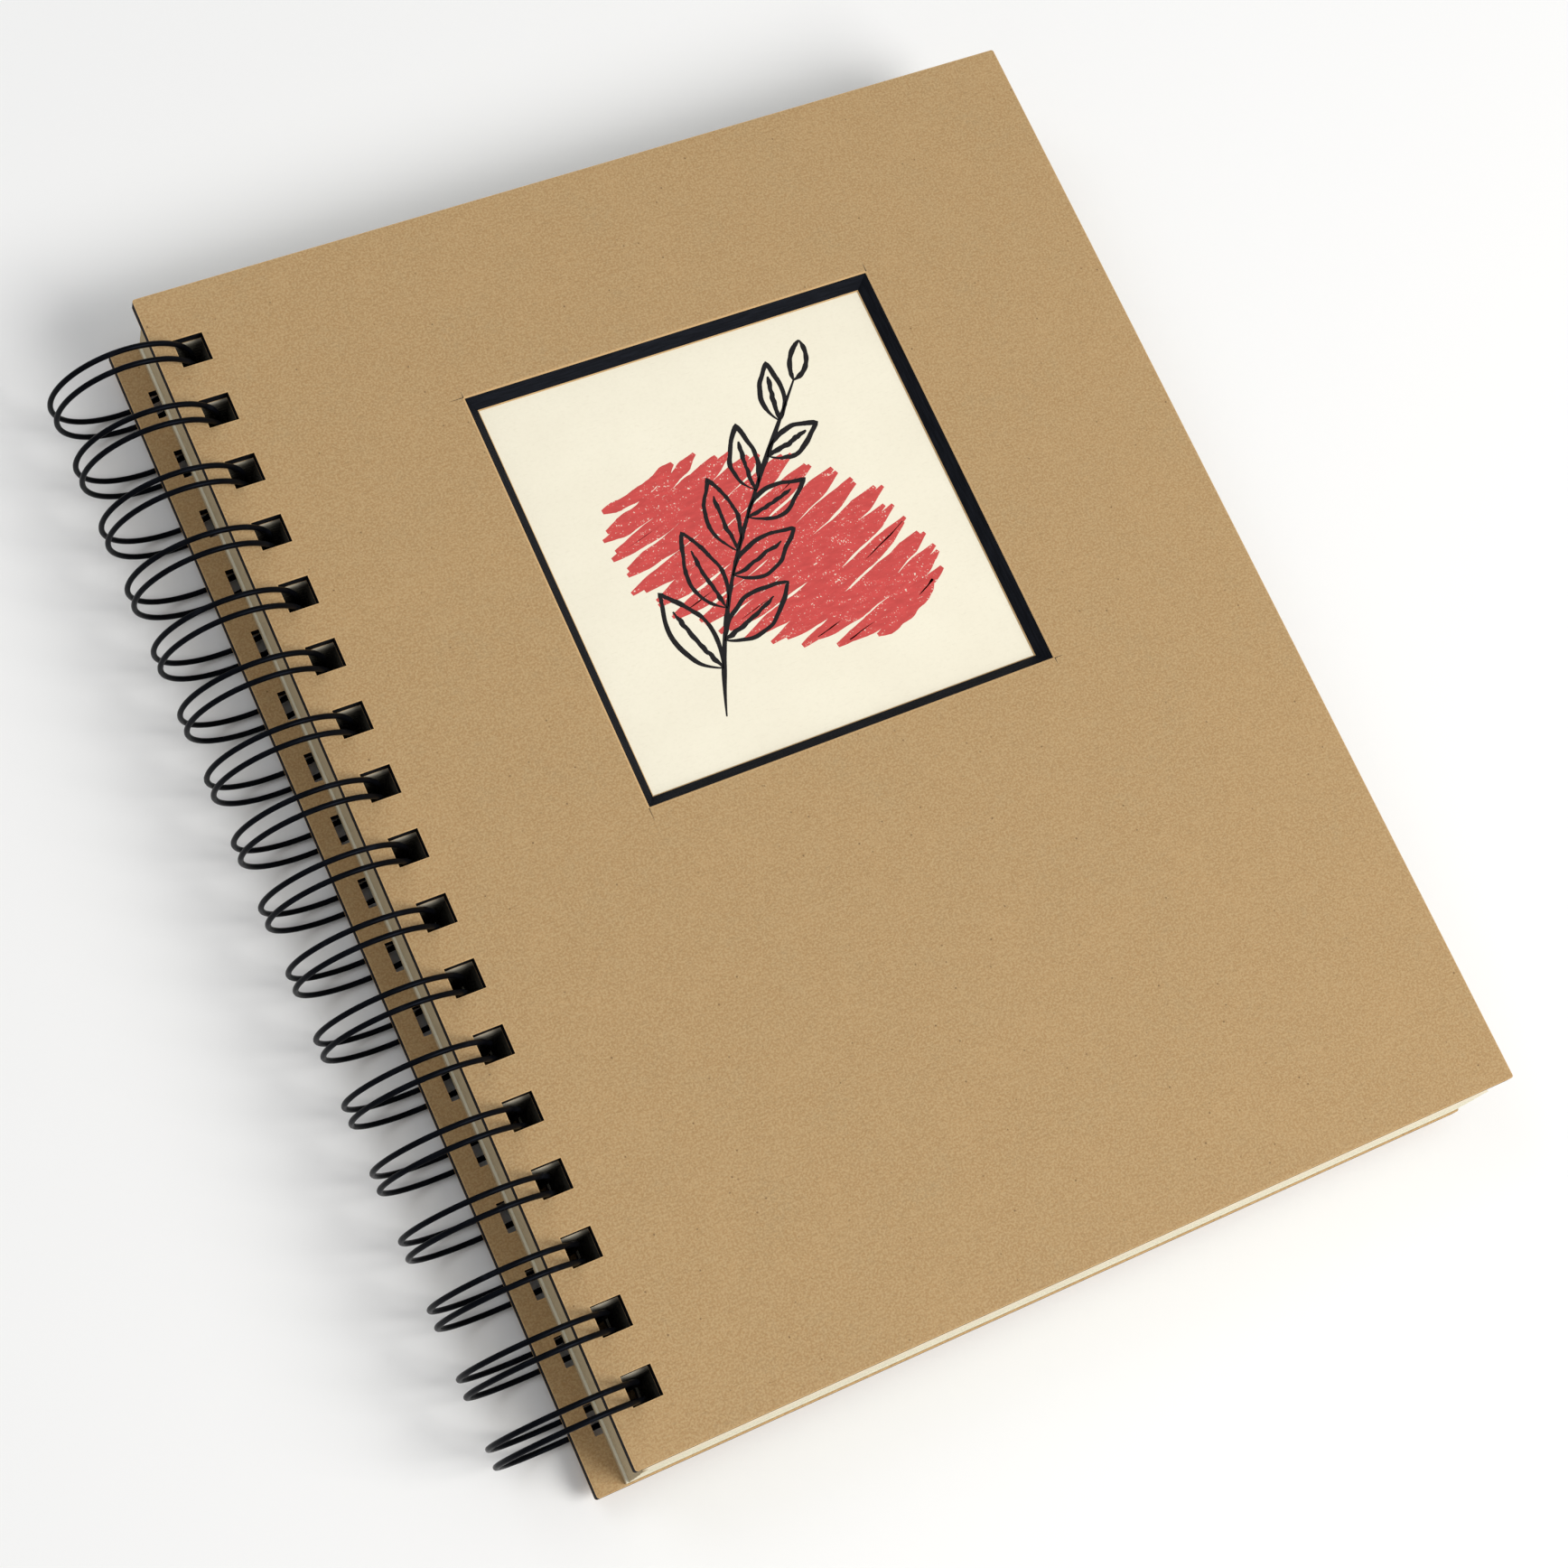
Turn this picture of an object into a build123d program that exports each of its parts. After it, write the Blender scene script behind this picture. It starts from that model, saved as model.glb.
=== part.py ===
from build123d import *
from math import cos, floor, pi, radians, sin, sqrt
import os

# A wire-bound hardcover sketchbook that lies on its back cover, in millimetres.
# +X runs from the spine to the fore-edge, +Y along the spine to the head of the book, +Z up.
# The origin is under the middle of the book's box, at the height of the lowest wire.

# Driving dimensions of the covers and sheets
cover_width = 182.5  # spine edge to fore-edge
cover_height = 228.6  # along the spine
board_thickness = 2.1  # black core of a cover
cover_paper = 0.2  # kraft paper laid on each side of the core
corner_cut = 0.7  # blunted corners of the covers
sheet_margin = 4.8  # how far the front cover reaches past the sheets at the fore-edge
sheet_trim = 0.6  # how much shorter than the covers the sheets are
packet_thickness = 1.09  # one packet of drawing sheets
packet_count = 12
title_thickness = 0.35  # the single heavy sheet under the window
leaf_gap = 0.06  # air between neighbouring leaves

# Driving dimensions of the window in the front cover, measured on its outer face
window_side = 85.4
window_from_spine = 50.0
window_from_head = 37.3
bevel_run = 1.0  # how far the bevel runs inwards for each millimetre it goes down

# Driving dimensions of the punched holes
hole_pitch = 12.7
hole_width = 5.7  # across the spine
hole_height = 5.7  # along the spine
hole_inset = 3.9  # a cover's spine edge to the hole's near side
sheet_hole_inset = 2.2  # the same on a sheet, which stops short of the covers at the spine too
row_margin = 12.7  # least distance from the last hole's middle to the head or tail

# Driving dimensions of the wire comb
wire_diameter = 1.05
ring_drop = 2.25  # how far the middle of the wire passes below the back cover
ring_rise = 5.88  # how far it passes above the front cover
pair_spacing = 3.25  # between the two wires of one loop
root_bend = 1.2
stub_length = 1.4  # straight end of the comb past its last bend
seam_angle = 290.0  # where the tips meet the roots, under the back cover, counted from +X over the top
seam_gap = 0.5  # from the middle of a tip to the line of the roots
wire_clearance = 0.25  # least air between the wire and a hole's side, across the spine
row_clearance = 0.2  # the same along the spine

# How the leaves settle on the wires
spine_from_ring = 6.0  # ring's middle to the front cover's spine edge

# The ring goes round the whole stack of covers, packets and title page
cover_thickness = board_thickness + 2 * cover_paper
packet_pitch = packet_thickness + leaf_gap
block_thickness = leaf_gap + packet_count * packet_pitch + title_thickness + leaf_gap
stack_thickness = 2 * cover_thickness + block_thickness
ring_radius = (ring_drop + stack_thickness + ring_rise) / 2  # to the middle of the wire

# Heights, counted from the middle of the ring
back_low = ring_drop - ring_radius
back_high = back_low + cover_thickness
title_low = back_high + leaf_gap + packet_count * packet_pitch
front_low = title_low + title_thickness + leaf_gap
front_high = front_low + cover_thickness

# The row of holes, and how far a leaf can slide along it
loop_count = floor((cover_height - 2 * row_margin) / hole_pitch + 1e-6) + 1
row_play = (hole_height - pair_spacing - wire_diameter) / 2 - row_clearance
sheet_setback = hole_inset - sheet_hole_inset
sheet_width = cover_width - sheet_margin - sheet_setback
sheet_height = cover_height - sheet_trim


def spine_edge(low, high, inset, wanted):
    """X of a leaf's spine edge, from the ring's middle: the wanted place, kept where the wire
    runs clear of both sides of its hole between the heights low and high. A hole with less room
    than that is centred on the wire."""
    inside = ring_radius - wire_diameter / 2 - wire_clearance
    outside = ring_radius + wire_diameter / 2 + wire_clearance
    furthest = max(abs(low), abs(high))
    nearest = 0 if low < 0 < high else min(abs(low), abs(high))
    least = sqrt(outside**2 - nearest**2) - inset - hole_width
    most = sqrt(inside**2 - furthest**2) - inset
    return (least + most) / 2 if least > most else max(least, min(wanted, most))


# The spine edges of the covers, and the middle of the ring in the book's own frame
ring_outside = ring_radius + wire_diameter / 2
back_edge = spine_edge(back_low, back_high, hole_inset, -ring_outside)
front_edge = spine_edge(front_low, front_high, hole_inset, spine_from_ring)
ring_x = (ring_outside - front_edge - cover_width) / 2
ring_z = ring_outside


def sheet_edge(low, high):
    """Spine edge of a sheet whose holes lie under the front cover's, as far as the ring lets them."""
    return spine_edge(low, high, sheet_hole_inset, front_edge + sheet_setback)


def window_at(height):
    """Side of the window at a height counted from the middle of the ring."""
    return window_side - 2 * bevel_run * (front_high - height)


def leaf(label, low, high, edge, inset, width, height, slide, cut=0.0, window=False):
    """One flat leaf with its row of holes, between two heights counted from the ring's middle."""
    with BuildPart() as made:
        with BuildSketch(Plane.XY.offset(ring_z + low)) as outline:
            with Locations((ring_x + edge + width / 2, slide)):
                Rectangle(width, height)
            if cut:
                chamfer(outline.vertices(), cut)
            with Locations((ring_x + edge + inset + hole_width / 2, slide)):
                with GridLocations(hole_pitch, hole_pitch, 1, loop_count):
                    Rectangle(hole_width, hole_height, mode=Mode.SUBTRACT)
        extrude(amount=high - low)
        if window:
            middle_x = ring_x + edge + window_from_spine + window_side / 2
            middle_y = slide + height / 2 - window_from_head - window_side / 2
            for level in (low, high):
                with BuildSketch(Plane.XY.offset(ring_z + level)):
                    with Locations((middle_x, middle_y)):
                        Rectangle(window_at(level), window_at(level))
            loft(mode=Mode.SUBTRACT)
    made.part.label = label
    return made.part


def cover(side, low, edge, slide, papers, window=False):
    """A cover: a black-core board between two kraft papers, each its own piece."""
    lower_paper, upper_paper = papers
    core_low = low + cover_paper
    core_high = core_low + board_thickness
    layers = (
        (lower_paper, low, core_low),
        ("board", core_low, core_high),
        (upper_paper, core_high, core_high + cover_paper),
    )
    for name, bottom, top in layers:
        pieces.append(
            leaf(
                f"{side}_{name}",
                bottom,
                top,
                edge,
                hole_inset,
                cover_width,
                cover_height,
                slide,
                corner_cut,
                window,
            )
        )


# The leaves, from the bottom up
pieces = []
cover("back", back_low, back_edge, -row_play, ("outer_paper", "inner_paper"))

for number in range(1, packet_count + 1):
    packet_low = back_high + leaf_gap + (number - 1) * packet_pitch
    packet_high = packet_low + packet_thickness
    share = (packet_high - back_high) / (front_low - back_high)
    pieces.append(
        leaf(
            f"page_packet_{number:02d}",
            packet_low,
            packet_high,
            sheet_edge(packet_low, packet_high),
            sheet_hole_inset,
            sheet_width,
            sheet_height,
            -row_play * (1 - share / 2),
        )
    )

title_high = title_low + title_thickness
pieces.append(
    leaf(
        "title_page",
        title_low,
        title_high,
        sheet_edge(title_low, title_high),
        sheet_hole_inset,
        sheet_width,
        sheet_height,
        -row_play / 2,
    )
)
cover("front", front_low, front_edge, row_play, ("inner_paper", "outer_paper"), window=True)


# The wire comb: one wire that climbs round the ring, turns in a tip, comes back and steps along
# to the next loop over a root.
def on_ring(angle, y, ahead=0.0):
    """A point of the ring at an angle and a place along the spine, moved ahead on its tangent."""
    turn = radians(angle)
    x = ring_radius * cos(turn) - ahead * sin(turn)
    z = ring_radius * sin(turn) + ahead * cos(turn)
    return Vector(ring_x + x, y, ring_z + z)


def corner(start, middle, end):
    """A quarter turn from start to end, tangent to the legs that meet at middle."""
    radius = (middle - start).length
    centre = start + end - middle
    ThreePointArc(start, centre + (middle - centre).normalized() * radius, end)


degrees_per_mm = 180 / (pi * ring_radius)
tip_radius = pair_spacing / 2
loop_start = seam_angle + root_bend * degrees_per_mm
loop_end = seam_angle + 360 - (seam_gap + tip_radius) * degrees_per_mm
loop_middle = (loop_start + loop_end) / 2
first_loop = -(loop_count - 1) * hole_pitch / 2

with BuildPart() as wire_comb:
    with BuildLine() as wire_path:
        head = first_loop - tip_radius
        bend = on_ring(loop_start, head, -root_bend)
        stub = bend - Vector(0, root_bend, 0)
        Line(stub - Vector(0, stub_length, 0), stub)
        corner(stub, bend, on_ring(loop_start, head))
        for loop in range(loop_count):
            loop_y = first_loop + loop * hole_pitch
            rising, falling = loop_y - tip_radius, loop_y + tip_radius
            ThreePointArc(
                on_ring(loop_start, rising), on_ring(loop_middle, rising), on_ring(loop_end, rising)
            )
            ThreePointArc(
                on_ring(loop_end, rising), on_ring(loop_end, loop_y, tip_radius), on_ring(loop_end, falling)
            )
            ThreePointArc(
                on_ring(loop_end, falling), on_ring(loop_middle, falling), on_ring(loop_start, falling)
            )
            bend = on_ring(loop_start, falling, -root_bend)
            root = bend + Vector(0, root_bend, 0)
            corner(on_ring(loop_start, falling), bend, root)
            if loop < loop_count - 1:
                following = falling + hole_pitch - pair_spacing
                next_bend = on_ring(loop_start, following, -root_bend)
                next_root = next_bend - Vector(0, root_bend, 0)
                Line(root, next_root)
                corner(next_root, next_bend, on_ring(loop_start, following))
            else:
                Line(root, root + Vector(0, stub_length, 0))
    with BuildSketch(Plane(origin=wire_path.line @ 0, z_dir=wire_path.line % 0)):
        Circle(wire_diameter / 2)
    sweep(path=wire_path.line)
wire_comb.part.label = "wire_comb"
pieces.append(wire_comb.part)

os.makedirs("parts", exist_ok=True)
for piece in pieces:
    export_step(piece, f"parts/{piece.label}.step")
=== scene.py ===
import bpy
import numpy as np
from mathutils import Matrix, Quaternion, Vector


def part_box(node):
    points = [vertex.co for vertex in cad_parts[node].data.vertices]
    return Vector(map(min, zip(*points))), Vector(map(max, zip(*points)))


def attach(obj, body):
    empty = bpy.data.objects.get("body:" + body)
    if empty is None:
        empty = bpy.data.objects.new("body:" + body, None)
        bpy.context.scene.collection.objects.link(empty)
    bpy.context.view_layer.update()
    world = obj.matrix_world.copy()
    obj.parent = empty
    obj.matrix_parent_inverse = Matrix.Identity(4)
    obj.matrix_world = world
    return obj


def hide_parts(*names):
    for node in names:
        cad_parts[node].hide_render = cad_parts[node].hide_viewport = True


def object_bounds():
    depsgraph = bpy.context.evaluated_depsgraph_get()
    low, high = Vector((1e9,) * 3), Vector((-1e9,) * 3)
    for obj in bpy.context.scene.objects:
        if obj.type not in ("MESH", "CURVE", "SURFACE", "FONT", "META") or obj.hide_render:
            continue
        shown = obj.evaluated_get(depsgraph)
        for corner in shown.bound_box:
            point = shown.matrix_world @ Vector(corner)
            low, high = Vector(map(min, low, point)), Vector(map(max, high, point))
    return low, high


bl_info = {
    "name": "Wire-bound Sketchbook",
    "version": (1, 0, 0),
    "blender": (4, 5, 0),
    "location": "3D View > Sidebar > Sketchbook",
    "description": "Covers, sheets, title page and wire comb of a wire-bound sketchbook",
    "category": "Add Mesh",
}

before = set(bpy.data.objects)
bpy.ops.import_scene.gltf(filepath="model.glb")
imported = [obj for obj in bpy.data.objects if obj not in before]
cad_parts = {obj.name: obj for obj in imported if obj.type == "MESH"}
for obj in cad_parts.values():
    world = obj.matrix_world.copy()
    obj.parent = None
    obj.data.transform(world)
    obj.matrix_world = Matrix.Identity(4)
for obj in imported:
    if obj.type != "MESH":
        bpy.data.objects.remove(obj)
CAD_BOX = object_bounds()
MM = 0.001
UP = np.array([0.0, 0.0, 1.0])
PLACES = 7  # decimals of a metre that a leaf's grid lines are rounded to
TINY = 1e-7

# How finely the pieces are divided
ROOT_STEPS = 6  # along a quarter turn at a loop's root
TIP_STEPS = 14  # along the half turn at a loop's tip
RING_STEPS = 96  # round a loop
WIRE_SIDES = 12
STROKE_SIDES = 6
SLIT_POINTS = 9
SWEEP_POINTS = 40  # along a crayon sweep, and along the middle of a leaf of the sprig
VEIN_POINTS = 31  # how many of those its vein follows
FLOOR_SIDES = 48


# Sizes and colours -----------------------------------------------------------------------------


def length(name, millimetres, description):
    """A length setting, given in millimetres and kept in metres."""
    return bpy.props.FloatProperty(
        name=name, description=description, default=millimetres * MM, min=0.0, precision=5, unit="LENGTH"
    )


def colour(name, shade, description):
    """A colour setting, in linear light."""
    return bpy.props.FloatVectorProperty(
        name=name, description=description, default=shade, min=0.0, max=1.0, size=3, subtype="COLOR"
    )


class SketchbookSizes(bpy.types.PropertyGroup):
    hole_count: bpy.props.IntProperty(
        name="Holes", description="Holes along the spine", default=17, min=1
    )
    hole_pitch: length("Hole pitch", 12.7, "Middle to middle of neighbouring holes")
    hole_side: length("Hole side", 5.7, "Side of a square hole")
    hole_inset: length("Cover hole inset", 3.9, "From a cover's spine edge to its holes")
    sheet_hole_inset: length("Sheet hole inset", 2.2, "From a sheet's spine edge to its holes")
    window_side: length("Window side", 85.4, "Side of the window at the cover's outer face")
    window_from_spine: length("Window from spine", 50.0, "Spine edge to the window")
    window_from_head: length("Window from head", 37.3, "Head edge to the window")
    worn_corner: length("Worn corner", 0.5, "Radius that a cover's corners are worn to")
    rim_width: length("Rim width", 0.8, "How far the cutter drags the paper at an edge")
    rim_press: length("Rim press", 0.05, "How deep the cutter presses an edge")
    # painted shade: how far in from a sheet's holes and spine edge the painted shade reaches
    sheet_shade_width: length("Sheet rim", 0.15, "How far inwards a sheet's edge is soiled")
    # painted shade: how far round the title card's holes and in from its spine edge the painted shade
    # reaches
    card_shade_width: length("Title card rim", 1.6, "How far board and wire soil the title card round its holes")
    slit_reach: length("Slit reach", 2.6, "How far the knife ran past the window's corners")
    slit_width: length("Slit width", 0.22, "Width of those knife slits")
    slit_height: length("Slit height", 0.006, "How far a slit's torn lips stand up")
    sheets: bpy.props.IntProperty(
        name="Sheets in a packet", description="Loose sheets that a packet holds", default=8, min=1
    )
    trim_play: length("Trim play", 0.14, "How unevenly the sheets are trimmed")
    wire_radius: length("Wire radius", 0.525, "Half the thickness of the coated wire")
    pair_spacing: length("Pair spacing", 3.25, "Between the two wires of a loop")
    root_bend: length("Root bend", 1.2, "Radius where a loop turns into the spine run")
    stub: length("Wire end", 1.4, "Straight end of the comb past its last bend")
    seam_gap: length("Seam gap", 0.5, "Between the loop tips and the spine run")
    seam_angle: bpy.props.FloatProperty(
        name="Seam angle", description="Where the tips meet the spine run", default=np.radians(290.0),
        subtype="ANGLE",
    )
    ink_width: length("Pen line", 1.0, "Width of a pen line of the drawing")
    ink_height: length("Pen height", 0.018, "How far a pen line stands up")
    crayon_width: length("Crayon line", 2.3, "Width of a crayon line of the drawing")
    crayon_height: length("Crayon height", 0.008, "How far a crayon line stands up")
    floor_gap: length("Floor gap", 0.02, "Air between the floor and the lowest wire")


class SketchbookColours(bpy.types.PropertyGroup):
    kraft: colour("Kraft paper", (0.432, 0.282, 0.133), "Paper of the covers")
    board: colour("Board", (0.0060, 0.0062, 0.0080), "Black core of the covers")
    sheet: colour("Drawing paper", (0.800, 0.770, 0.630), "Loose sheets")
    # painted shade: this tan stands for shade and kraft-coloured bounce light on the spine edge of the
    # sheets and title card
    sheet_spine_shade: colour("Sheet edge", (0.470, 0.360, 0.200), "Sheets' spine edge, browned by the covers")
    card: colour("Title card", (0.905, 0.855, 0.700), "Heavy sheet under the window")
    wire: colour("Wire coating", (0.0022, 0.0024, 0.0032), "Nylon coating of the wire")
    ink: colour("Pen ink", (0.012, 0.011, 0.012), "Pen lines of the drawing")
    crayon: colour("Crayon", (0.610, 0.078, 0.072), "Coloured patch of the drawing")
    floor: colour("Floor", (0.92, 0.92, 0.92), "Floor that the book lies on")


class SketchbookStage(bpy.types.PropertyGroup):
    camera_place: bpy.props.FloatVectorProperty(
        name="Camera", description="Where the camera stands", default=(-0.1978, -0.1301, 0.5428),
        subtype="TRANSLATION", unit="LENGTH",
    )
    camera_aim: bpy.props.FloatVectorProperty(
        name="Aim", description="What the camera looks at", default=(-0.0058, -0.0124, 0.0220),
        subtype="TRANSLATION", unit="LENGTH",
    )
    camera_roll: bpy.props.FloatProperty(
        name="Roll", description="How far the camera leans to the left of upright",
        default=np.radians(35.76), subtype="ANGLE",
    )
    camera_lens: bpy.props.FloatProperty(
        name="Lens", description="Focal length on a 36 mm wide film, in millimetres", default=71.68,
        min=1.0,
    )
    key_power: bpy.props.FloatProperty(
        name="Key light", description="Power of the large light over the tail", default=16.5,
        unit="POWER",
    )
    fill_power: bpy.props.FloatProperty(
        name="Fill light", description="Power of the light over the head", default=2.6, unit="POWER",
    )
    sky: bpy.props.FloatProperty(
        name="Sky", description="Strength of the even light from all round", default=0.44, min=0.0
    )


# Shapes ------------------------------------------------------------------------------------------


def put_mesh(name, points, faces, smooth=False, **values):
    """A mesh object from an array of points and a list of face arrays, one array for each number of
    corners. Each further argument is one number per point, kept as an attribute of that name."""
    mesh = bpy.data.meshes.new(name)
    mesh.vertices.add(len(points))
    mesh.vertices.foreach_set("co", np.asarray(points, np.float32).ravel())
    corners = np.concatenate([group.ravel() for group in faces]).astype(np.int32)
    sizes = np.concatenate([np.full(len(group), group.shape[1]) for group in faces])
    mesh.loops.add(len(corners))
    mesh.loops.foreach_set("vertex_index", corners)
    mesh.polygons.add(len(sizes))
    mesh.polygons.foreach_set("loop_start", (np.cumsum(sizes) - sizes).astype(np.int32))
    mesh.polygons.foreach_set("use_smooth", np.full(len(sizes), smooth))
    mesh.update(calc_edges=True)
    for key, numbers in values.items():
        layer = mesh.attributes.new(key, "FLOAT", "POINT")
        layer.data.foreach_set("value", np.asarray(numbers, np.float32))
    thing = bpy.data.objects.new(name, mesh)
    bpy.context.collection.objects.link(thing)
    return thing


def finish_piece(thing, material, body, nodes=()):
    """Gives a piece its material, its body and the nodes that it stands for."""
    thing.data.materials.append(material)
    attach(thing, body)
    if nodes:
        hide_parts(*nodes)
    return thing


def grid_lines(low, high, edge_steps, gaps, gap_steps):
    """Lines across a leaf: its two edges, a line at each step inside them, both sides of every gap,
    and a line at each step outside a gap."""
    gaps = np.asarray(gaps).reshape(-1, 2)
    steps = np.concatenate([[0.0], gap_steps])[:, None]
    lines = np.concatenate([
        [low, high],
        low + edge_steps,
        high - edge_steps,
        (gaps[:, 0] - steps).ravel(),
        (gaps[:, 1] + steps).ravel(),
    ])
    lines = np.unique(np.round(lines, PLACES))
    return lines[(lines >= low - TINY) & (lines <= high + TINY)]


def outside(values, low, high):
    """How far each value lies outside the span from low to high, and 0 inside it."""
    return np.maximum(np.maximum(low - values, values - high), 0.0)


def slab(top, bottom, solid):
    """A flat body on a grid: a top and a bottom face over each solid cell, and a wall wherever a
    solid cell meets an empty one. Returns its points, its faces, and which grid point each is."""
    wide, deep = top.shape[:2]
    index = np.arange(wide * deep).reshape(wide, deep)
    under = index + wide * deep
    a, b, c, d = index[:-1, :-1], index[1:, :-1], index[1:, 1:], index[:-1, 1:]
    faces = [
        np.stack([a, b, c, d], -1)[solid],
        np.stack([a, d, c, b], -1)[solid] + wide * deep,
    ]
    filled = np.pad(solid, 1)
    left, right = filled[:-1, 1:-1], filled[1:, 1:-1]
    near, far = filled[1:-1, :-1], filled[1:-1, 1:]
    for wall, first, second in (
        (right & ~left, np.s_[:, :-1], np.s_[:, 1:]),
        (left & ~right, np.s_[:, 1:], np.s_[:, :-1]),
        (near & ~far, np.s_[:-1, :], np.s_[1:, :]),
        (far & ~near, np.s_[1:, :], np.s_[:-1, :]),
    ):
        quads = np.stack([under[first], index[first], index[second], under[second]], -1)
        faces.append(quads[wall])
    quads = np.concatenate(faces)
    used, quads = np.unique(quads, return_inverse=True)
    points = np.concatenate([top.reshape(-1, 3), bottom.reshape(-1, 3)])[used]
    return points, quads.reshape(-1, 4), used % (wide * deep)


def worn(x, y, outline, radius):
    """Rounds the corners of a rectangular grid: near a corner, a square is mapped onto a disc, each
    coordinate being multiplied by the root of one less half the square of the other."""
    left, right, tail, head = outline
    from_x, from_y = np.minimum(x - left, right - x), np.minimum(y - tail, head - y)
    u = np.clip(1 - from_x / radius, 0, 1)
    v = np.clip(1 - from_y / radius, 0, 1)
    inward_x = radius * u * (1 - np.sqrt(1 - v * v / 2))
    inward_y = radius * v * (1 - np.sqrt(1 - u * u / 2))
    x = x + np.where(x - left < right - x, inward_x, -inward_x)
    y = y + np.where(y - tail < head - y, inward_y, -inward_y)
    return x, y


def leaf(outline, low, high, slide, inset, rim_width, window=None, narrowing=0.0, corner=0.0, press=0.0):
    """A punched leaf between two heights: a grid over the outline with cells left out at the holes
    and the window. The window narrows towards the bottom, and the top is pressed down at cut edges
    by the cube of the nearness to them. Returns its points and faces, and for each point how near
    it is to any rim, to a hole and to the spine, from 0 at the rim's width away to 1 at the cut."""
    sizes = bpy.context.scene.sketchbook_sizes
    left, right, tail, head = outline
    steps = np.array([0.12, 0.35, 1.0] if press else [1.0]) * rim_width
    bends = np.array([0.15, 0.4, 0.7, 1.0]) * corner if corner else np.array([])
    first = slide - (sizes.hole_count - 1) / 2 * sizes.hole_pitch
    rows = first + np.arange(sizes.hole_count) * sizes.hole_pitch
    half = sizes.hole_side / 2
    start = left + inset
    stop = start + sizes.hole_side
    gaps_x, gaps_y = [(start, stop)], [*zip(rows - half, rows + half)]
    if window:
        gaps_x.append(window[:2])
        gaps_y.append(window[2:])
    xs = grid_lines(left, right, np.concatenate([steps, bends]), gaps_x, steps)
    ys = grid_lines(tail, head, np.concatenate([steps, bends]), gaps_y, steps)
    x, y = np.meshgrid(xs, ys, indexing="ij")

    to_row = np.abs(y[..., None] - rows).min(-1)
    rim = np.minimum.reduce([x - left, right - x, y - tail, head - y])
    punched = np.hypot(outside(x, start, stop), outside(to_row, 0, half))
    rim = np.minimum(rim, punched)
    if window:
        rim = np.minimum(rim, np.hypot(outside(x, *window[:2]), outside(y, *window[2:])))
    near = [np.clip(1 - far / rim_width, 0, 1) for far in (rim, punched, x - left)]

    middle_x, middle_y = (xs[1:] + xs[:-1])[:, None] / 2, (ys[1:] + ys[:-1])[None, :] / 2
    in_row = np.abs(middle_y[..., None] - rows).min(-1) < half
    solid = ~((middle_x > start) & (middle_x < stop) & in_row)
    if window:
        in_x = (middle_x > window[0]) & (middle_x < window[1])
        solid &= ~(in_x & (middle_y > window[2]) & (middle_y < window[3]))

    if corner:
        x, y = worn(x, y, outline, corner)
    top = np.stack([x, y, high - press * near[0] ** 3], -1)
    bottom = np.stack([x, y, np.full_like(x, low)], -1)
    if window:
        depth = np.minimum.reduce([x - window[0], window[1] - x, y - window[2], window[3] - y])
        at = np.abs(depth) < TINY
        centre = np.array([window[0] + window[1], window[2] + window[3]]) / 2
        share = 1 - 2 * narrowing / (window[1] - window[0])
        bottom[at, :2] = centre + (bottom[at, :2] - centre) * share
    points, quads, at = slab(top, bottom, solid)
    rim, punched, spine = (share.ravel()[at] for share in near)
    return points, quads, {"rim": rim, "punched": punched, "spine": spine}


def carry(path, out, wide, high, sides):
    """A closed tube: an ellipse carried along a path, wide across it and high along out, with a point
    at the middle of each end. Each ring is the path point, plus the cosine times the across
    direction, plus the sine times the out direction."""
    along = np.gradient(path, axis=0)
    along /= np.linalg.norm(along, axis=1, keepdims=True)
    out = np.broadcast_to(out, path.shape)
    across = np.cross(along, out)
    across /= np.linalg.norm(across, axis=1, keepdims=True)
    turn = np.arange(sides) / sides * 2 * np.pi
    wide = np.broadcast_to(wide, len(path))[:, None, None]
    high = np.broadcast_to(high, len(path))[:, None, None]
    rings = (
        path[:, None]
        + across[:, None] * np.cos(turn)[None, :, None] * wide
        + out[:, None] * np.sin(turn)[None, :, None] * high
    )
    count = len(path)
    index = np.arange(count * sides).reshape(count, sides)
    after = np.roll(index, -1, axis=1)
    quads = np.stack([index[:-1], index[1:], after[1:], after[:-1]], -1).reshape(-1, 4)
    start, end = count * sides, count * sides + 1
    caps = np.concatenate([
        np.stack([np.full(sides, start), index[0], after[0]], -1),
        np.stack([np.full(sides, end), after[-1], index[-1]], -1),
    ])
    points = np.concatenate([rings.reshape(-1, 3), path[:1], path[-1:]])
    return points, quads, caps


def joined(parts):
    """Several bodies, each its points and face arrays, as one."""
    starts = np.cumsum([0] + [len(part[0]) for part in parts[:-1]])
    points = np.concatenate([part[0] for part in parts])
    groups = zip(*[[group + start for group in part[1:]] for part, start in zip(parts, starts)])
    return points, [np.concatenate(group) for group in groups]


# Finishes ----------------------------------------------------------------------------------------


def new_material(name):
    """An empty material: its node tree and its shader."""
    material = bpy.data.materials.new(name)
    material.use_nodes = True
    tree = material.node_tree
    tree.nodes.clear()
    shader = tree.nodes.new("ShaderNodeBsdfPrincipled")
    output = tree.nodes.new("ShaderNodeOutputMaterial")
    tree.links.new(shader.outputs["BSDF"], output.inputs["Surface"])
    return material, tree, shader


def node(tree, kind, result=0, settings=None, **inputs):
    """A node with its settings and inputs. An input is called by its name, or by i and its number,
    and is a number, a colour or another node's output. Returns one of the node's outputs."""
    made = tree.nodes.new(kind)
    for key, value in (settings or {}).items():
        setattr(made, key, value)
    for key, value in inputs.items():
        socket = made.inputs[int(key[1:]) if key[0] == "i" and key[1:].isdigit() else key]
        if isinstance(value, bpy.types.NodeSocket):
            tree.links.new(value, socket)
        else:
            socket.default_value = value
    return made.outputs[result]


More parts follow.
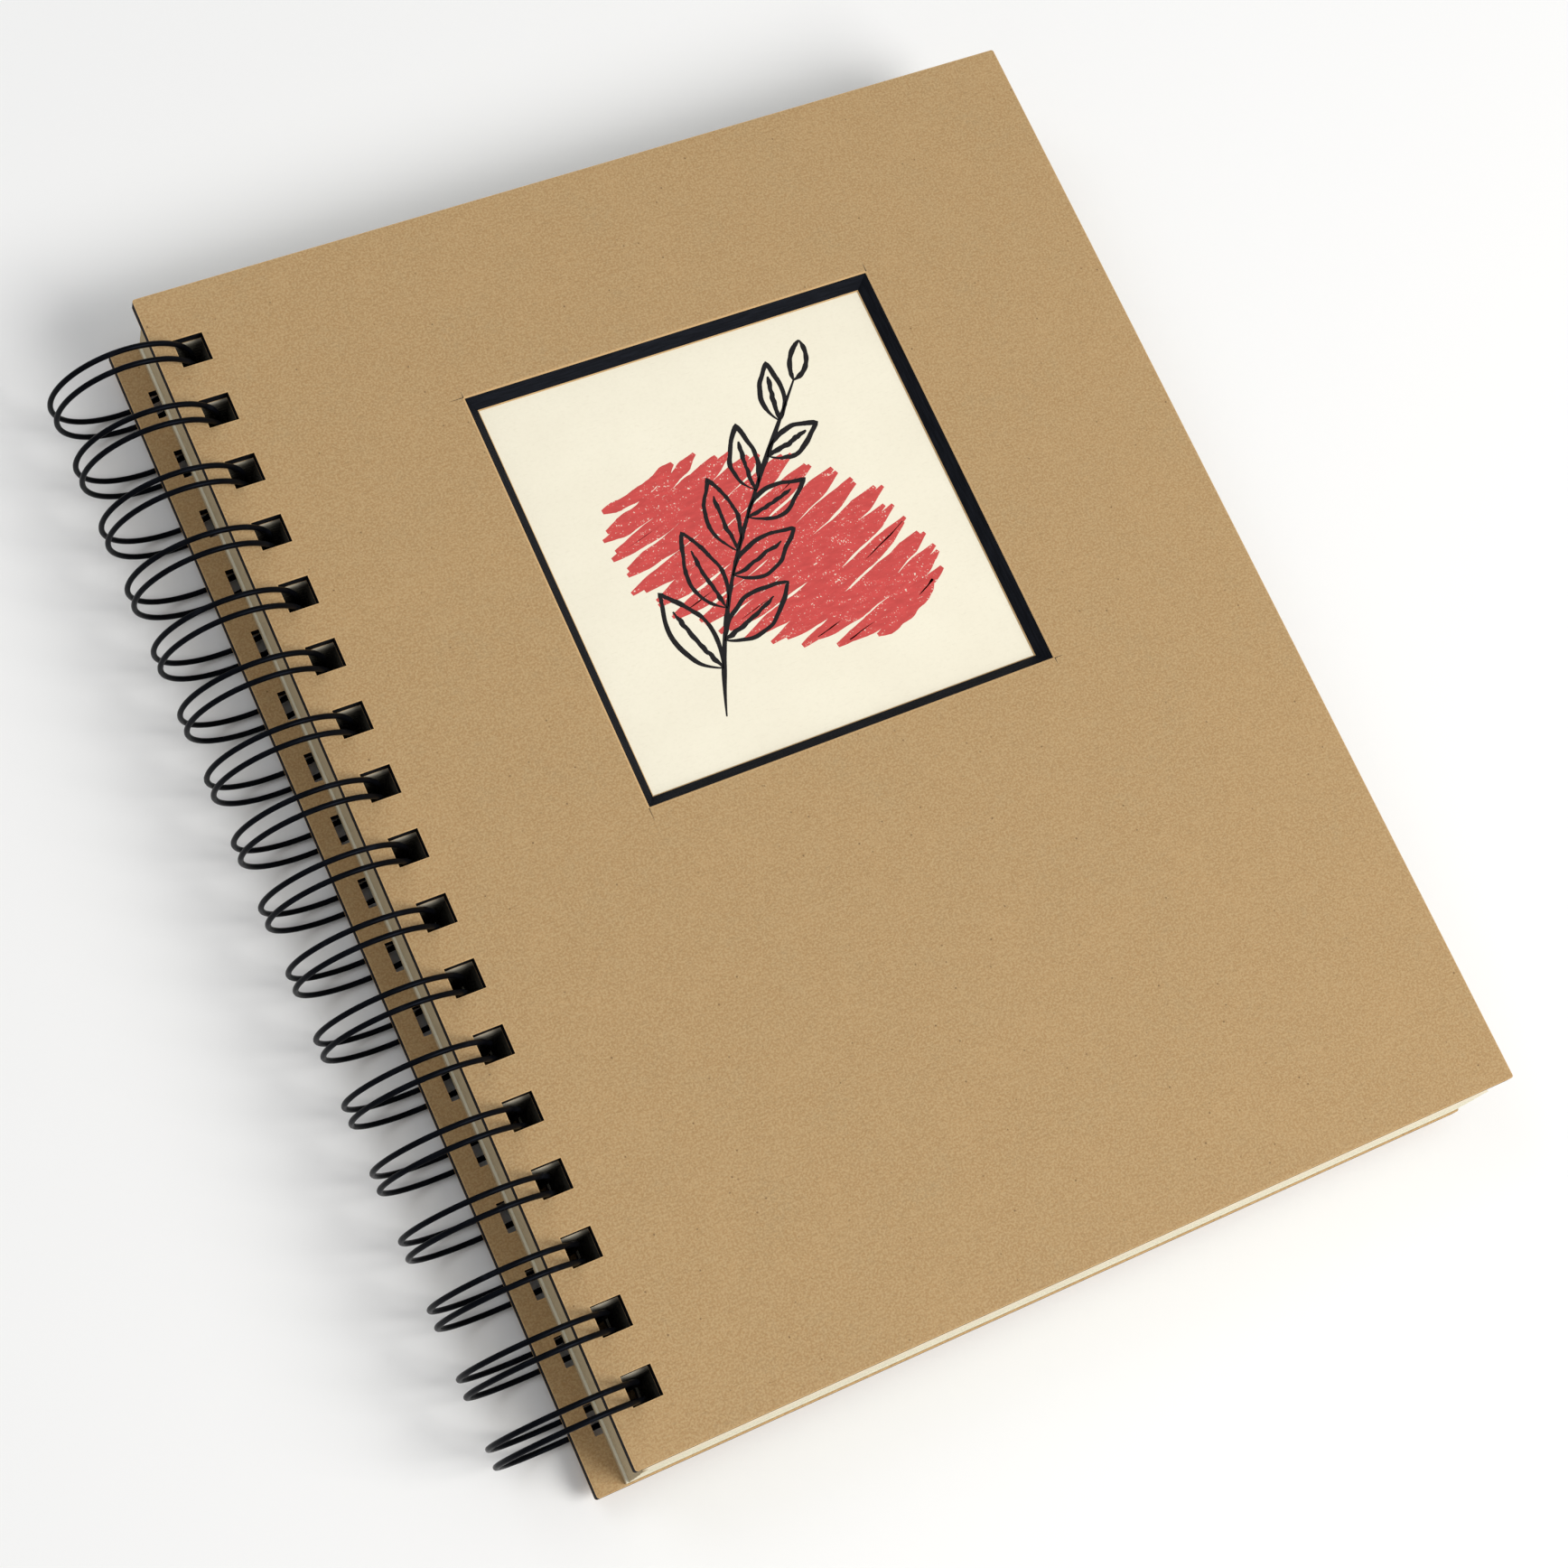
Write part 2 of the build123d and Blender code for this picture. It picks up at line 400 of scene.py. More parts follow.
def place(tree, scale=(1, 1, 1), turn=0.0):
    """Coordinates on the piece, turned about the upright and stretched."""
    where = node(tree, "ShaderNodeTexCoord", "Object")
    return node(tree, "ShaderNodeMapping", Vector=where, Rotation=(0, 0, turn), Scale=scale)


def grain(tree, where, size, detail=2.0, rough=0.5):
    """Cloudy noise whose blotches are about a size across, in metres."""
    return node(tree, "ShaderNodeTexNoise", Vector=where, Scale=1 / size, Detail=detail, Roughness=rough)


def spread(tree, value, low, high, to_low=0.0, to_high=1.0):
    """A value stretched from one span to another and held inside it."""
    return node(tree, "ShaderNodeMapRange", i0=value, i1=low, i2=high, i3=to_low, i4=to_high)


def mix(tree, share, first, second, mode="MIX"):
    """One colour laid over another."""
    settings = {"data_type": "RGBA", "blend_type": mode}
    return node(tree, "ShaderNodeMix", 2, settings, i0=share, i6=first, i7=second)


def times(tree, first, second):
    """The product of two values."""
    return node(tree, "ShaderNodeMath", 0, {"operation": "MULTIPLY"}, i0=first, i1=second)


def plus(tree, first, second):
    """The sum of two values."""
    return node(tree, "ShaderNodeMath", 0, {"operation": "ADD"}, i0=first, i1=second)


def marked(tree, key):
    """How strongly a point is marked by one of a piece's own attributes."""
    return node(tree, "ShaderNodeAttribute", "Fac", {"attribute_name": key})


def relief(tree, shader, height, depth, strength):
    """Raises the surface by a height map of a depth in metres."""
    bump = node(tree, "ShaderNodeBump", Height=height, Distance=depth, Strength=strength)
    tree.links.new(bump, shader.inputs["Normal"])


def shade(base, share, warmth=0.0):
    """A colour made lighter or darker by a share, and warmer or cooler."""
    tint = np.array([1 + warmth, 1.0, 1 - warmth])
    return (*np.clip(np.array(base) * share * tint, 0, 1), 1.0)


def kraft_paper(base):
    """Brown kraft paper: pulp clouds, fibres in three directions, dark and pale flecks, and edges
    that the cutter has roughed up."""
    material, tree, shader = new_material("kraft_paper")
    flat = place(tree)
    clouds = grain(tree, flat, 0.013, 3, 0.55)
    mottle = grain(tree, flat, 0.0048, 3, 0.55)
    pulp = grain(tree, flat, 0.0011, 3, 0.65)
    specks = grain(tree, flat, 0.0004, 2)
    cool, warm = shade(base, 0.965, -0.03), shade(base, 1.035, 0.03)
    tone = mix(tree, spread(tree, clouds, 0.36, 0.64), cool, warm)
    for cloud, low, most, lightness, warmth in (
        (mottle, 0.36, 1.0, 0.925, 0.045),
        (pulp, 0.40, 0.9, 0.885, 0.06),
        (specks, 0.42, 0.9, 1.27, -0.06),
    ):
        tone = mix(tree, spread(tree, cloud, low, 0.62, 0, most), tone, shade(base, lightness, warmth))
    height = pulp
    for turn, lightness, cut in ((0.35, 1.24, 0.61), (1.55, 0.80, 0.615), (2.6, 1.18, 0.62)):
        strands = grain(tree, place(tree, (0.11, 1, 1), turn), 0.00021, 1.5, 0.5)
        share = spread(tree, strands, cut, cut + 0.07, 0, 0.5)
        tone = mix(tree, share, tone, shade(base, lightness))
        height = plus(tree, height, times(tree, share, 0.5))
    fleck = node(tree, "ShaderNodeTexVoronoi", "Distance", Vector=flat, Scale=520, Randomness=1.0)
    rare = spread(tree, grain(tree, flat, 0.0024, 1), 0.57, 0.64)
    tone = mix(tree, times(tree, spread(tree, fleck, 0.13, 0.07), rare), tone, shade(base, 0.52, 0.05))
    pale = spread(tree, grain(tree, flat, 0.00045, 1), 0.70, 0.76, 0, 0.55)
    tone = mix(tree, pale, tone, shade(base, 1.32))
    ragged = plus(tree, marked(tree, "rim"), times(tree, grain(tree, flat, 0.0003, 2), 0.5))
    tone = mix(tree, spread(tree, ragged, 0.98, 1.22, 0, 0.8), tone, shade(base, 1.5))
    tree.links.new(tone, shader.inputs["Base Color"])
    tree.links.new(spread(tree, pulp, 0.35, 0.65, 0.76, 0.88), shader.inputs["Roughness"])
    shader.inputs["Specular IOR Level"].default_value = 0.32
    tooth = times(tree, grain(tree, flat, 0.0002, 2), 0.6)
    relief(tree, shader, plus(tree, height, tooth), 0.06 * MM, 0.55)
    return material


def black_board(base):
    """Solid black board: plies that show as fine lines along a cut edge, torn fibres, and the faint
    cool gloss of a bevel that the knife has polished."""
    material, tree, shader = new_material("black_board")
    plies = grain(tree, place(tree, (0.04, 0.04, 1)), 0.00019, 2, 0.6)
    fibres = grain(tree, place(tree, (1, 1, 2.5)), 0.00035, 3, 0.65)
    tone = mix(tree, spread(tree, plies, 0.38, 0.66), shade(base, 0.75), shade(base, 1.7, -0.06))
    torn = spread(tree, fibres, 0.60, 0.72, 0, 0.55)
    tone = mix(tree, torn, tone, shade(base, 3.6, -0.03))
    tree.links.new(tone, shader.inputs["Base Color"])
    tree.links.new(spread(tree, fibres, 0.35, 0.7, 0.62, 0.88), shader.inputs["Roughness"])
    shader.inputs["Specular IOR Level"].default_value = 0.10
    shader.inputs["Specular Tint"].default_value = (0.62, 0.76, 1.0, 1.0)
    relief(tree, shader, plus(tree, times(tree, plies, 0.7), fibres), 0.07 * MM, 0.6)
    return material


def sheet_paper(name, base, edge, tooth, tone_share):
    """Uncoated cream paper: faint clouds, a tooth of a size in metres, a few short fibres, a tone of
    its own for each sheet, painted shade and kraft-coloured bounce light on the spine edge, and painted
    shade round the holes and on their walls."""
    material, tree, shader = new_material(name)
    flat = place(tree)
    clouds = grain(tree, flat, 0.016, 3, 0.5)
    fine = grain(tree, flat, tooth, 3, 0.6)
    tone = mix(tree, spread(tree, clouds, 0.3, 0.7), shade(base, 0.975, 0.006), shade(base, 1.02))
    darker = spread(tree, marked(tree, "tone"), 0, 1, 0, tone_share)
    tone = mix(tree, darker, tone, shade(base, 0.76, 0.03))
    strands = grain(tree, place(tree, (0.14, 1, 1), 0.8), 0.00024, 1, 0.5)
    tone = mix(tree, spread(tree, strands, 0.64, 0.72, 0, 0.22), tone, shade(base, 0.80, 0.03))
    tone = mix(tree, spread(tree, fine, 0.30, 0.55, 0.14, 0), tone, shade(base, 0.80, 0.02))
    # painted shade: towards the spine edge the paper is blended into a tan that stands for shade and
    # kraft-coloured bounce light
    tone = mix(tree, spread(tree, marked(tree, "spine"), 0.3, 0.9, 0, 0.8), tone, (*edge, 1.0))
    # painted shade: round the holes and on their walls the paper is darkened almost to black, standing
    # for the shade inside the holes
    shadowed = spread(tree, marked(tree, "punched"), 0.3, 0.9, 0, 0.93)
    tone = mix(tree, shadowed, tone, shade(base, 0.035, 0.1))
    tree.links.new(tone, shader.inputs["Base Color"])
    tree.links.new(spread(tree, fine, 0.3, 0.7, 0.80, 0.92), shader.inputs["Roughness"])
    shader.inputs["Specular IOR Level"].default_value = 0.15
    relief(tree, shader, fine, 0.04 * MM, 0.5)
    return material


def coated_wire(base):
    """Black nylon-coated wire: satin with glossier and duller stretches, a fine skin on the coating
    and rubbed spots."""
    material, tree, shader = new_material("coated_wire")
    flat = place(tree)
    patches = grain(tree, flat, 0.004, 3, 0.6)
    skin = grain(tree, flat, 0.0003, 2, 0.5)
    rubbed = spread(tree, plus(tree, patches, times(tree, skin, 0.25)), 0.74, 0.86, 0, 0.7)
    tone = mix(tree, spread(tree, patches, 0.35, 0.65), shade(base, 0.8), shade(base, 1.35, -0.05))
    tone = mix(tree, rubbed, tone, shade(base, 3.6, -0.04))
    tree.links.new(tone, shader.inputs["Base Color"])
    tree.links.new(spread(tree, patches, 0.35, 0.68, 0.28, 0.44), shader.inputs["Roughness"])
    shader.inputs["IOR"].default_value = 1.3
    shader.inputs["Specular IOR Level"].default_value = 0.13
    shader.inputs["Specular Tint"].default_value = (0.58, 0.70, 1.0, 1.0)
    relief(tree, shader, plus(tree, skin, patches), 0.03 * MM, 0.45)
    return material


def drawn_line(name, base, paper, cover, rough):
    """A drawn line: pigment caught on the paper's tooth, which leaves pinholes of bare paper where
    the tooth is higher than the line can cover."""
    material, tree, shader = new_material(name)
    flat = place(tree)
    tooth = grain(tree, flat, 0.00035, 2, 0.6)
    drag = grain(tree, place(tree, (0.3, 1, 1), 0.9), 0.0009, 2, 0.6)
    raised = plus(tree, times(tree, tooth, 0.7), times(tree, drag, 0.3))
    bare = spread(tree, raised, cover, cover + 0.05)
    tone = mix(tree, spread(tree, drag, 0.3, 0.7), shade(base, 0.9), shade(base, 1.12))
    tone = mix(tree, bare, tone, shade(paper, 0.95))
    tree.links.new(tone, shader.inputs["Base Color"])
    tree.links.new(spread(tree, tooth, 0.3, 0.7, rough - 0.08, rough + 0.08), shader.inputs["Roughness"])
    shader.inputs["Specular IOR Level"].default_value = 0.18
    relief(tree, shader, tooth, 0.04 * MM, 0.5)
    return material


def slit_shade(base):
    """Painted shade of a knife slit in kraft paper: darkened kraft, with torn edges."""
    material, tree, shader = new_material("slit_shade")
    torn = grain(tree, place(tree), 0.0003, 2, 0.6)
    # painted shade: kraft darkened to between a fifth and two fifths stands for the shade inside the
    # slit
    tone = mix(tree, spread(tree, torn, 0.4, 0.6), shade(base, 0.18), shade(base, 0.42))
    tree.links.new(tone, shader.inputs["Base Color"])
    shader.inputs["Roughness"].default_value = 0.9
    return material


def floor_paint(base):
    """Matt pale floor with a barely seen unevenness."""
    material, tree, shader = new_material("floor_paint")
    uneven = grain(tree, place(tree), 0.3, 2, 0.5)
    tone = mix(tree, spread(tree, uneven, 0.3, 0.7), shade(base, 0.995), shade(base, 1.005))
    tree.links.new(tone, shader.inputs["Base Color"])
    shader.inputs["Roughness"].default_value = 0.85
    shader.inputs["Specular IOR Level"].default_value = 0.15
    return material


# The drawing on the title page ------------------------------------------------------------------


def wobble(count, size, seed):
    """A slow unsteadiness of the hand: the sum of four sine waves, lower the faster they are."""
    rng = np.random.default_rng(seed)
    t = np.linspace(0, 1, count)[:, None, None]
    beat, phase = rng.uniform(1, 9, (4, 2)), rng.uniform(0, 2 * np.pi, (4, 2))
    return (np.sin(2 * np.pi * beat * t + phase) / (1 + beat)).sum(1) * size


def curve(a, b, c, d, count=60):
    """A cubic curve from a to d, pulled by b and c."""
    t = np.linspace(0, 1, count)[:, None]
    a, b, c, d = (np.asarray(p, float) for p in (a, b, c, d))
    return (1 - t) ** 3 * a + 3 * (1 - t) ** 2 * t * b + 3 * (1 - t) * t * t * c + t**3 * d


def sprig_lines():
    """Pen lines of a leafy sprig, in millimetres from the window's middle: a bent stem, and leaves
    along it whose sides swell as the sine of the way along, each with a middle vein."""
    stem = curve((-21, -31), (-13, -8), (-1, 4), (20, 27))
    lines = [stem]
    for number, (share, side) in enumerate(zip(np.linspace(0.14, 0.90, 9), [1, -1] * 5)):
        at = int(share * (len(stem) - 1))
        run = stem[at + 1] - stem[at - 1]
        angle = np.arctan2(run[1], run[0]) + side * np.radians(50 - 14 * share)
        size = 19.5 - 8.5 * share
        t = np.linspace(0, 1, SWEEP_POINTS)
        swell = 0.205 * size * np.sin(np.pi * t**0.85)
        droop = -side * 0.12 * size * t * t
        ahead, up = np.array([np.cos(angle), np.sin(angle)]), np.array([-np.sin(angle), np.cos(angle)])
        spine = stem[at] + t[:, None] * size * ahead + droop[:, None] * up
        outline = np.concatenate([
            spine + swell[:, None] * up,
            (spine - swell[:, None] * up)[::-1][1:],
        ])
        lines.append(outline + wobble(len(outline), 0.35, 20 + number))
        lines.append(spine[:VEIN_POINTS] + wobble(VEIN_POINTS, 0.25, 40 + number))
    tip = stem[-1]
    lines.append(curve(tip, tip + (3.5, 0.5), tip + (5.5, 4.0), tip + (4.6, 7.4), 24))
    lines.append(curve(tip, tip + (0.0, 3.2), tip + (1.8, 6.0), tip + (4.6, 7.4), 24))
    return lines


def hatching():
    """Crayon sweeps that shade a lopsided oval, in millimetres from the window's middle: slanted
    lines, each as long as the root of one less the square of its way across, a little bowed."""
    count = 26
    rng = np.random.default_rng(7)
    across = np.linspace(-0.95, 0.95, count)
    reach = 20.0 * np.sqrt(1 - across**2) * (1 + rng.normal(0, 0.05, count)) + 2.0
    t = np.linspace(-1, 1, SWEEP_POINTS)[:, None]
    ways = np.array([1, -1] * (count // 2))
    x = 27.0 * across + 0.55 * ways * t + rng.normal(0, 0.16, count)
    y = reach * t + rng.normal(0, 0.5, count) + 5.5 * across
    x = x + 1.1 * (1 - t * t) + 0.25 * y
    lean = np.radians(-56)
    points = np.stack([
        x * np.cos(lean) - y * np.sin(lean) + 1.5,
        x * np.sin(lean) + y * np.cos(lean) - 3.5,
    ], -1)
    return [points[:, number] + wobble(SWEEP_POINTS, 0.12, 60 + number) for number in range(count)]


def drawn(lines, middle, height, width, thick, seed):
    """Drawn lines as thin lens-shaped strokes on the page, which swell and taper with the hand."""
    rng = np.random.default_rng(seed)
    strokes = []
    for line in lines:
        count = len(line)
        path = np.column_stack([np.asarray(middle) + line * MM, np.full(count, height)])
        t = np.linspace(0, 1, count)
        taper = np.minimum(1, 0.35 + 5 * np.minimum(t, 1 - t))
        wave = np.sin(2 * np.pi * (rng.uniform(2, 5) * t + rng.uniform()))
        shake = 1 + 0.10 * wave + rng.normal(0, 0.02, count)
        strokes.append(carry(path, UP, width / 2 * taper * shake, thick, STROKE_SIDES))
    return joined(strokes)


# Operators ---------------------------------------------------------------------------------------


def window_of(low, high):
    """The window's rectangle at the cover's outer face, from the front cover's box."""
    sizes = bpy.context.scene.sketchbook_sizes
    left = low.x + sizes.window_from_spine
    head = high.y - sizes.window_from_head
    return left, left + sizes.window_side, head - sizes.window_side, head


class SKETCHBOOK_OT_covers(bpy.types.Operator):
    """Lays kraft paper on both sides of the black boards, punched, worn and with the window cut"""

    bl_idname = "sketchbook.covers"
    bl_label = "Build covers"

    def execute(self, context):
        sizes, colours = context.scene.sketchbook_sizes, context.scene.sketchbook_colours
        kraft, board = kraft_paper(colours.kraft), black_board(colours.board)
        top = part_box("front_outer_paper")[1].z
        for side in ("front", "back"):
            for layer in ("inner_paper", "board", "outer_paper"):
                name = f"{side}_{layer}"
                low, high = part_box(name)
                slide = (low.y + high.y) / 2
                window = window_of(low, high) if side == "front" else None
                rise = top - high.z
                if window:
                    window = window[0] + rise, window[1] - rise, window[2] + rise, window[3] - rise
                paper = layer != "board"
                facing_up = name in ("front_outer_paper", "back_inner_paper")
                points, quads, near = leaf(
                    (low.x, high.x, low.y, high.y), low.z, high.z, slide, sizes.hole_inset,
                    sizes.rim_width, window, high.z - low.z, sizes.worn_corner,
                    sizes.rim_press if facing_up else 0.0,
                )
                piece = put_mesh(f"{name}_sheet" if paper else f"{name}_core", points, [quads], **near)
                material, slot = (kraft, "kraft_paper") if paper else (board, "black_board")
                finish_piece(piece, material, f"{side}_cover", (name,))
        return {"FINISHED"}


class SKETCHBOOK_OT_window_slits(bpy.types.Operator):
    """Adds the short knife slits that run past the corners of the window"""

    bl_idname = "sketchbook.window_slits"
    bl_label = "Cut window slits"

    def execute(self, context):
        sizes, colours = context.scene.sketchbook_sizes, context.scene.sketchbook_colours
        low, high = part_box("front_outer_paper")
        left, right, tail, head = window_of(low, high)
        t = np.linspace(0, 1, SLIT_POINTS)
        width = sizes.slit_width / 2 * (1 - 0.85 * t)
        slits = []
        for x, y, way, share in (
            (left, tail, (0, -1), 1.0), (right, tail, (1, 0), 0.7), (right, head, (0, 1), 0.8),
            (left, head, (-1, 0), 1.1), (left, head, (0, 1), 0.45), (right, tail, (0, -1), 0.5),
        ):
            run = sizes.slit_reach * share * t
            path = np.column_stack([x + way[0] * run, y + way[1] * run, np.full(SLIT_POINTS, high.z)])
            slits.append(carry(path, UP, width, sizes.slit_height, STROKE_SIDES))
        points, faces = joined(slits)
        piece = put_mesh("window_knife_slits", points, faces)
        finish_piece(piece, slit_shade(colours.kraft), "front_cover")
        return {"FINISHED"}


class SKETCHBOOK_OT_drawing_sheets(bpy.types.Operator):
    """Fills each packet with loose sheets, each trimmed and toned a little differently"""

    bl_idname = "sketchbook.drawing_sheets"
    bl_label = "Fill packets with sheets"

    def execute(self, context):
        sizes, colours = context.scene.sketchbook_sizes, context.scene.sketchbook_colours
        paper = sheet_paper("drawing_paper", colours.sheet, colours.sheet_spine_shade, 0.0005, 0.5)
        rng = np.random.default_rng(11)
        packets = sorted(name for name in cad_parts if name.startswith("page_packet"))
        for name in packets:
            low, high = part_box(name)
            slide = (low.y + high.y) / 2
            pitch = (high.z - low.z) / sizes.sheets
            parts, notes = [], []
            packet_trim = rng.uniform(0, 0.6, 4)
            packet_tone = rng.uniform(0, 0.35)
            for number in range(sizes.sheets):
                trim = (packet_trim + rng.uniform(0, 0.4, 4)) * sizes.trim_play
                bottom = low.z + number * pitch
                left = low.x + trim[0] * 0.4  # a punched edge is jogged straighter than the others
                outline = left, high.x - trim[1], low.y + trim[2], high.y - trim[3]
                thickness = pitch * rng.uniform(0.78, 0.98)
                points, quads, near = leaf(
                    outline, bottom, bottom + thickness, slide, sizes.sheet_hole_inset, sizes.sheet_shade_width
                )
                parts.append((points, quads))
                near["tone"] = np.full(len(points), packet_tone + rng.uniform(0, 0.65))
                notes.append(near)
            points, faces = joined(parts)
            near = {key: np.concatenate([note[key] for note in notes]) for key in notes[0]}
            piece = put_mesh(name.replace("page_packet", "loose_sheets"), points, faces, **near)
            finish_piece(piece, paper, name.replace("page_packet", "packet"), (name,))
        return {"FINISHED"}


class SKETCHBOOK_OT_title_page(bpy.types.Operator):
    """Lays the heavy title page and draws a leafy sprig over a shaded patch on it"""

    bl_idname = "sketchbook.title_page"
    bl_label = "Build title page"

    def execute(self, context):
        sizes, colours = context.scene.sketchbook_sizes, context.scene.sketchbook_colours
        low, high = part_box("title_page")
        slide = (low.y + high.y) / 2
        points, quads, near = leaf(
            (low.x, high.x, low.y, high.y), low.z, high.z, slide, sizes.sheet_hole_inset, sizes.card_shade_width
        )
        piece = put_mesh("title_card", points, [quads], tone=np.zeros(len(points)), **near)
        card = sheet_paper("title_paper", colours.card, colours.sheet_spine_shade, 0.0006, 0.0)
        finish_piece(piece, card, "title_leaf", ("title_page",))
        window = window_of(*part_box("front_outer_paper"))
        middle = (window[0] + window[1]) / 2, (window[2] + window[3]) / 2
        red = drawn_line("wax_crayon", colours.crayon, colours.card, 0.61, 0.48)
        black = drawn_line("pen_ink", colours.ink, colours.card, 0.74, 0.55)
        points, faces = drawn(hatching(), middle, high.z, sizes.crayon_width, sizes.crayon_height, 3)
        finish_piece(put_mesh("crayon_patch", points, faces), red, "title_leaf")
        points, faces = drawn(sprig_lines(), middle, high.z, sizes.ink_width, sizes.ink_height, 5)
        finish_piece(put_mesh("pen_sprig", points, faces), black, "title_leaf")
        return {"FINISHED"}


class SKETCHBOOK_OT_wire_comb(bpy.types.Operator):
    """Bends one coated wire into the comb: round the ring, over a tip, back, and along to the next"""

    bl_idname = "sketchbook.wire_comb"
    bl_label = "Bend wire comb"

    def execute(self, context):
        sizes, colours = context.scene.sketchbook_sizes, context.scene.sketchbook_colours
        low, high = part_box("wire_comb")
        radius = (high.z - low.z) / 2 - sizes.wire_radius
        centre_x = low.x + sizes.wire_radius + radius
        centre_z = (high.z + low.z) / 2
        tip, bend = sizes.pair_spacing / 2, sizes.root_bend
        start = sizes.seam_angle + bend / radius
        end = sizes.seam_angle + 2 * np.pi - (sizes.seam_gap + tip) / radius
        quarter = np.linspace(0, np.pi / 2, ROOT_STEPS + 1)
        half_turn = np.linspace(0, np.pi, TIP_STEPS + 1)[1:-1]
        round_up = np.linspace(start, end, RING_STEPS + 1)
        at_root, at_tip, flat = np.full(ROOT_STEPS, start), np.full(TIP_STEPS - 1, end), round_up * 0
        angle = np.concatenate([at_root, round_up, at_tip, round_up[::-1], at_root])
        y = np.concatenate([
            bend * np.sin(quarter[:-1]) - tip - bend,
            flat - tip,
            -tip * np.cos(half_turn),
            flat + tip,
            tip + bend - bend * np.cos(quarter[1:]),
        ])
        ahead = np.concatenate([
            -bend * np.cos(quarter[:-1]),
            flat,
            tip * np.sin(half_turn),
            flat,
            -bend * np.sin(quarter[1:]),
        ])
        loops = sizes.hole_count
        middles = (np.arange(loops) - (loops - 1) / 2) * sizes.hole_pitch
        y = (middles[:, None] + y).ravel()
        angle, ahead = np.tile(angle, loops), np.tile(ahead, loops)
        ends = sizes.stub * np.array([1.0, 0.97])  # the wire narrows over the last of its end
        y = np.concatenate([y[0] - ends, y, y[-1] + ends[::-1]])
        angle, ahead = np.pad(angle, 2, "edge"), np.pad(ahead, 2, "edge")
        path = np.stack([
            centre_x + radius * np.cos(angle) - ahead * np.sin(angle),
            y,
            centre_z + radius * np.sin(angle) + ahead * np.cos(angle),
        ], -1)
        out = np.stack([np.cos(angle), angle * 0, np.sin(angle)], -1)
        thick = np.full(len(path), sizes.wire_radius)
        thick[[0, -1]] *= 0.8
        points, quads, caps = carry(path, out, thick, thick, WIRE_SIDES)
        piece = put_mesh("coated_wire_comb", points, [quads, caps], smooth=True)
        finish_piece(piece, coated_wire(colours.wire), "wire_comb", ("wire_comb",))
        return {"FINISHED"}


